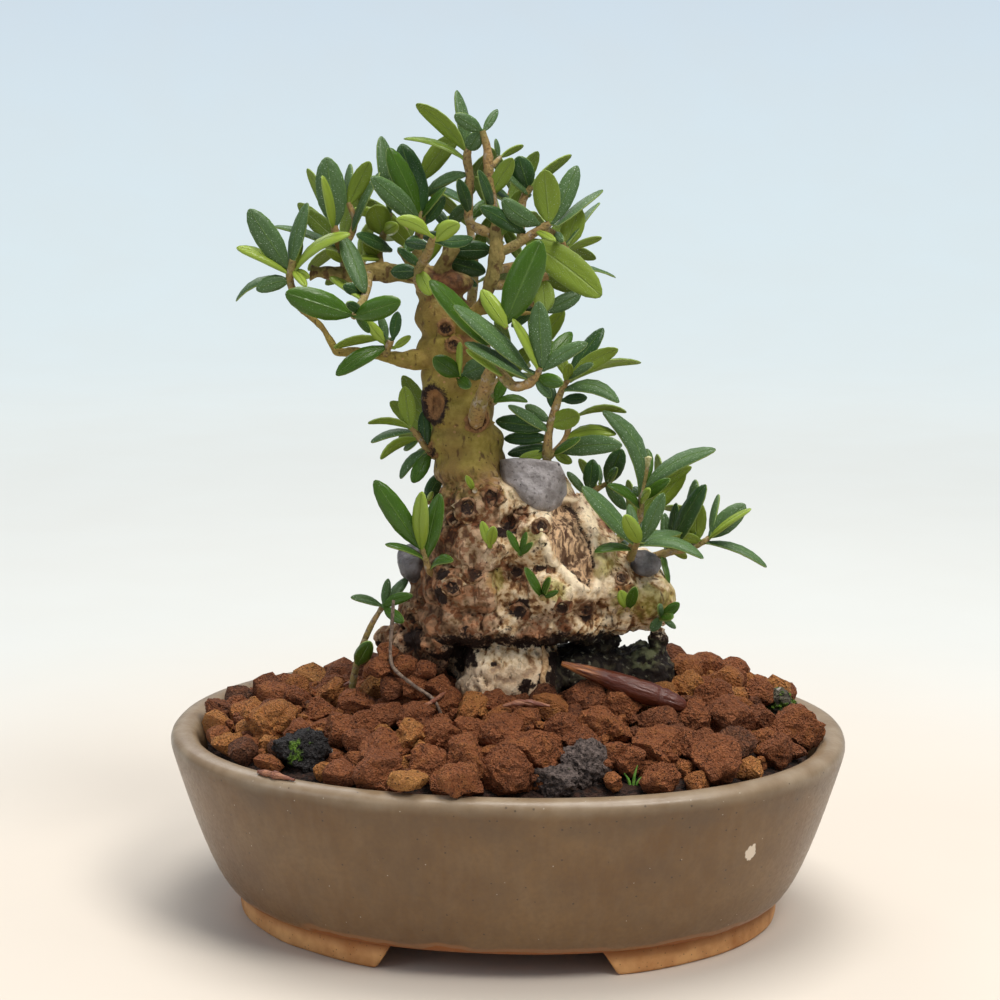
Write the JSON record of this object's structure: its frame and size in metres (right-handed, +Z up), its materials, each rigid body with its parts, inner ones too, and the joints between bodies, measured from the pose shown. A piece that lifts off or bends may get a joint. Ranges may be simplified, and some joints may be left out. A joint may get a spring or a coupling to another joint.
{
  "type": "potted bonsai tree",
  "caption": "Small-leaved wild olive bonsai with a gnarled flared trunk and leafy sprays, growing in clay granules in an oval grey-brown glazed pot.",
  "frame": {"origin": "on the ground plane under the pot's feet, midway along and across the pot", "axes": "+X along the pot's long side to the viewer's right, +Y from the front to the back, +Z up the tree"},
  "size_m": [0.15, 0.1124, 0.1808],
  "materials": {
    "glaze": "satin grey-brown glaze with fine specks, feet of bare tan clay",
    "drain_plastic": "matt black mesh",
    "clay_granules": "rough porous baked clay, red-brown",
    "ochre_granule": "rough pale ochre clay",
    "mossy_cinder": "black porous lava with bright moss",
    "grey_cinder": "grey porous lava",
    "bark": "gnarled pale bark with brown knots, greener above, mossy and dark at the roots",
    "wound_paste": "dull grey sealing paste",
    "foliage": "leathery olive leaves, dark green with grey bloom above and paler beneath, on thin shoots",
    "husk": "smooth dry red-brown scale",
    "dry_straw": "thin dry grey-brown stalk"
  },
  "bodies": {
    "root": {"bark_sliver_centre": "husk", "bud_centre": "foliage", "bud_centre_left": "foliage", "bud_centre_low": "foliage", "bud_left_rear": "foliage", "bud_right_face": "foliage", "bud_right_tip": "foliage", "bud_upper": "foliage", "drain_mesh_left": "drain_plastic", "drain_mesh_right": "drain_plastic", "dry_husk": "husk", "dry_stalk": "dry_straw", "grey_cinder_front": "grey_cinder", "grey_cinder_small": "grey_cinder", "mossy_cinder_left": "mossy_cinder", "mossy_cinder_right": "mossy_cinder", "pot": "glaze", "rim_granule_brown": "clay_granules", "rim_granule_pale": "ochre_granule", "soil": "clay_granules", "spray_behind_patch": "foliage", "spray_crown_inner": "foliage", "spray_crown_right": "foliage", "spray_front_pair": "foliage", "spray_front_small": "foliage", "spray_front_stub": "foliage", "spray_front_young": "foliage", "spray_left_front": "foliage", "spray_left_inner": "foliage", "spray_left_low": "foliage", "spray_left_mid": "foliage", "spray_left_tip": "foliage", "spray_left_top": "foliage", "spray_left_upper": "foliage", "spray_low_left": "foliage", "spray_low_right": "foliage", "spray_mid_right": "foliage", "spray_rear_base": "foliage", "spray_rear_crown": "foliage", "spray_rear_crown_left": "foliage", "spray_rear_left": "foliage", "spray_rear_low": "foliage", "spray_rear_middle": "foliage", "spray_rear_right": "foliage", "spray_rear_top": "foliage", "spray_right_end": "foliage", "spray_right_front": "foliage", "spray_right_upright": "foliage", "spray_side_small": "foliage", "spray_top": "foliage", "spray_top_left": "foliage", "sucker": "foliage", "trunk": "bark", "wound_paste_left": "wound_paste", "wound_paste_main": "wound_paste", "wound_paste_right": "wound_paste"}
  },
  "joints": []
}
